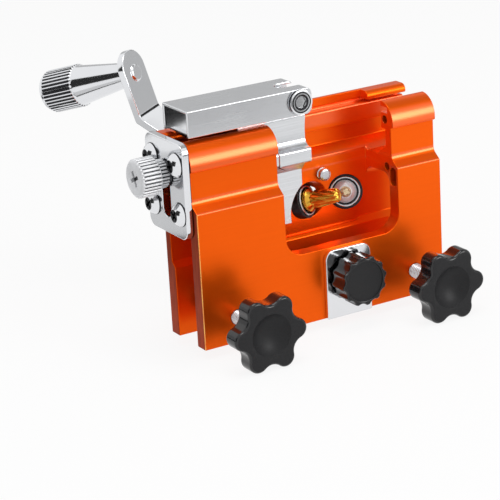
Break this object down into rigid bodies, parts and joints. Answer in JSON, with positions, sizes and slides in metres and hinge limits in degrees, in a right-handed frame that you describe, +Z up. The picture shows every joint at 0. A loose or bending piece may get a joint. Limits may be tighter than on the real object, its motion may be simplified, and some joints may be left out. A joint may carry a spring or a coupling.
{
  "type": "manual chainsaw sharpener",
  "caption": "Hand-cranked chainsaw chain sharpener: an extruded housing clamps on the guide bar, and a cranked burr files the teeth at a set angle.",
  "frame": {"origin": "on the bar seat, the inner face of the rear leg, midway along the housing and 11.5 mm above the lower ends of the legs", "axes": "+X along the guide bar to the right, +Y from the bar seat into the rear leg, towards the crank, +Z up"},
  "size_m": [0.1281, 0.1481, 0.1018],
  "materials": {
    "orange_anodised": "satin anodised",
    "chrome": "polished plating",
    "polished_aluminium": "polished",
    "steel": "turned",
    "blackened_steel": "blackened, satin",
    "black_plastic": "gloss with matt face",
    "gold": "hard gold coating",
    "cream": "pale hard coating"
  },
  "bodies": {
    "frame": {"housing": "orange_anodised", "end_plate": "chrome", "end_plate_screws": "chrome", "stop_pin": "steel", "centre_plate": "chrome", "left_guide_bush": "blackened_steel", "right_guide_bush": "blackened_steel"},
    "tooth_stop": {"tooth_stop_slide": "polished_aluminium", "lever_pivot_screw": "chrome", "lever_pivot_nut": "chrome"},
    "lever": {"lever": "polished_aluminium"},
    "adjusting_screw": {"adjusting_screw": "chrome", "adjusting_screw_clip": "blackened_steel"},
    "left_quill": {"left_quill": "steel", "left_front_bearing": "blackened_steel", "left_rear_bearing": "blackened_steel"},
    "crank": {"left_spindle": "steel", "left_burr": "gold", "crank_arm": "chrome", "crank_nut": "chrome", "handle_pin": "steel"},
    "handle": {"handle_grip": "chrome"},
    "right_quill": {"right_quill": "steel", "right_front_bearing": "blackened_steel", "right_rear_bearing": "blackened_steel"},
    "right_spindle": {"right_spindle": "steel", "right_nose": "steel", "right_burr": "cream"},
    "left_foot": {"left_clamp_foot": "blackened_steel"},
    "left_knob": {"left_star_knob": "black_plastic", "left_clamp_screw": "steel"},
    "right_foot": {"right_clamp_foot": "blackened_steel"},
    "right_knob": {"right_star_knob": "black_plastic", "right_clamp_screw": "steel"},
    "centre_foot": {"centre_foot": "blackened_steel"},
    "centre_knob": {"centre_knob": "black_plastic", "centre_screw": "steel"}
  },
  "joints": [
    {"name": "tooth_stop_travel", "type": "slide", "parent": "frame", "child": "tooth_stop", "axis": [1, 0, 0], "range_m": [-0.003, 0.004]},
    {"name": "lever_lift", "type": "hinge", "parent": "tooth_stop", "child": "lever", "pos_m": [-0.0034, -0.0026, 0.0746], "axis": [0, 1, 0], "range_deg": [0, 90]},
    {"name": "adjusting_screw_turn", "type": "hinge", "parent": "frame", "child": "adjusting_screw", "pos_m": [-0.06, -0.0026, 0.0554], "axis": [1, 0, 0], "range_deg": [-1440, 1080]},
    {"name": "left_quill_feed", "type": "slide", "parent": "frame", "child": "left_quill", "axis": [0.483, -0.8365, 0.2588], "range_m": [-0.01, 0.0075]},
    {"name": "crank_turn", "type": "hinge", "parent": "left_quill", "child": "crank", "pos_m": [0.007, 0.003, 0.0295], "axis": [0.483, -0.8365, 0.2588], "continuous": true},
    {"name": "handle_turn", "type": "hinge", "parent": "crank", "child": "handle", "pos_m": [-0.04502, 0.08154, 0.07133], "axis": [0.483, -0.8365, 0.2588], "continuous": true},
    {"name": "right_quill_feed", "type": "slide", "parent": "frame", "child": "right_quill", "axis": [-0.483, -0.8365, 0.2588], "range_m": [-0.01, 0.006]},
    {"name": "right_spindle_turn", "type": "hinge", "parent": "right_quill", "child": "right_spindle", "pos_m": [0.025, 0.003, 0.0295], "axis": [-0.483, -0.8365, 0.2588], "continuous": true},
    {"name": "left_clamp_travel", "type": "slide", "parent": "frame", "child": "left_foot", "axis": [0, 1, 0], "range_m": [-0.0055, 0.0044]},
    {"name": "left_clamp_turn", "type": "hinge", "parent": "left_foot", "child": "left_knob", "pos_m": [-0.0401, -0.03, -0.0013], "axis": [0, 1, 0], "range_deg": [-1980, 1584]},
    {"name": "right_clamp_travel", "type": "slide", "parent": "frame", "child": "right_foot", "axis": [0, 1, 0], "range_m": [-0.0055, 0.0044]},
    {"name": "right_clamp_turn", "type": "hinge", "parent": "right_foot", "child": "right_knob", "pos_m": [0.0418, -0.03, -0.0013], "axis": [0, 1, 0], "range_deg": [-1980, 1584]},
    {"name": "centre_clamp_travel", "type": "slide", "parent": "frame", "child": "centre_foot", "axis": [0, 1, 0], "range_m": [-0.005, 0.0012]},
    {"name": "centre_clamp_turn", "type": "hinge", "parent": "centre_foot", "child": "centre_knob", "pos_m": [0.0102, -0.03, 0.0047], "axis": [0, 1, 0], "range_deg": [-1800, 432]}
  ],
  "couplings": [
    {"joint": "adjusting_screw_turn", "follows": "tooth_stop_travel", "rad_per_m": -6283.2},
    {"joint": "left_clamp_turn", "follows": "left_clamp_travel", "rad_per_m": 6283.2},
    {"joint": "right_clamp_turn", "follows": "right_clamp_travel", "rad_per_m": 6283.2},
    {"joint": "centre_clamp_turn", "follows": "centre_clamp_travel", "rad_per_m": 6283.2}
  ]
}
